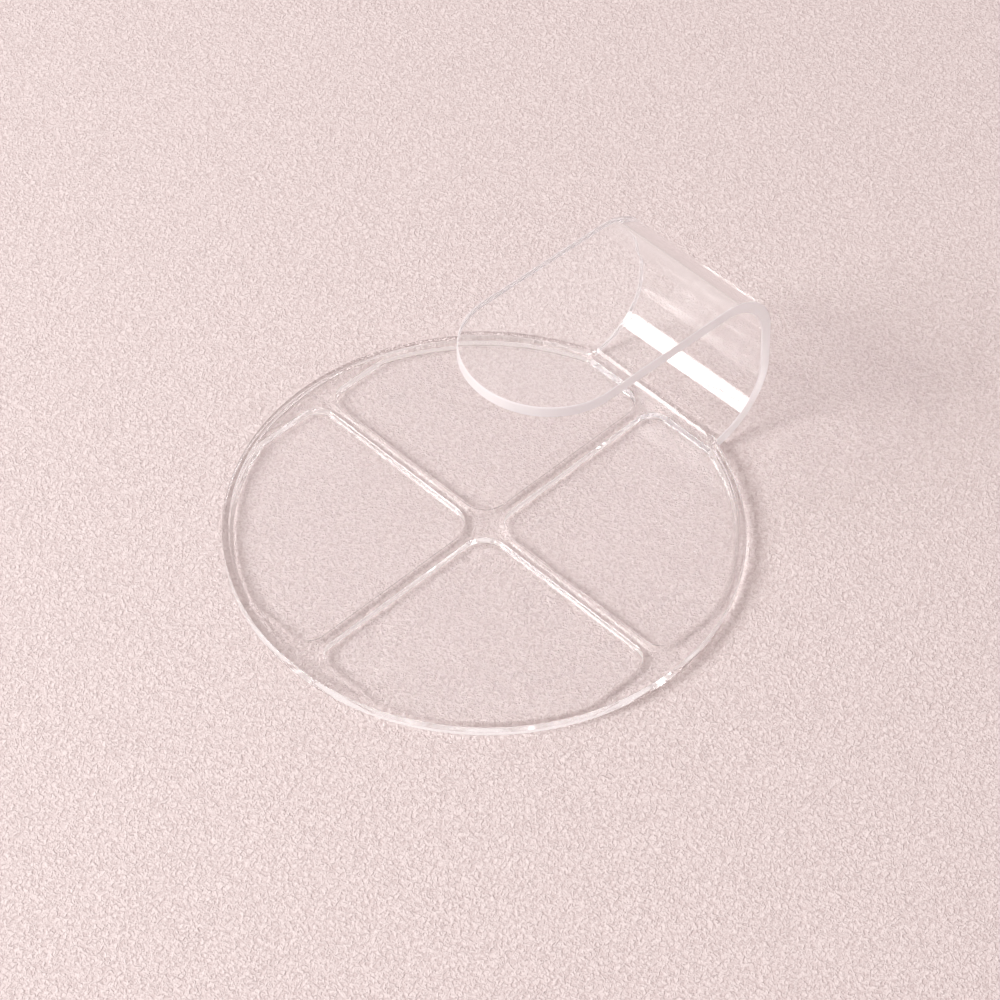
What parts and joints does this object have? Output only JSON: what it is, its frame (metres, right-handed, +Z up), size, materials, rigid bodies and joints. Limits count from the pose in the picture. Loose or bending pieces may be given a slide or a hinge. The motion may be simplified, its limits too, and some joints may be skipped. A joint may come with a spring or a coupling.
{
  "type": "divided dish with finger tongue",
  "caption": "Shallow round clear plastic dish with a cross divider and quadrant wells, and a bent tongue that arches back over the dish as a finger grip.",
  "frame": {"origin": "centre of the round dish on its underside, where it rests", "axes": "+Z up out of the wells, +X along a divider rib towards the flat edge that carries the tongue, +Y across"},
  "size_m": [0.1002, 0.09, 0.0362],
  "materials": {
    "clear_plastic": "clear, polished"
  },
  "bodies": {
    "root": {"base_sheet": "clear_plastic", "rim_ring": "clear_plastic", "cross_divider": "clear_plastic", "grip_tongue": "clear_plastic"}
  },
  "joints": []
}
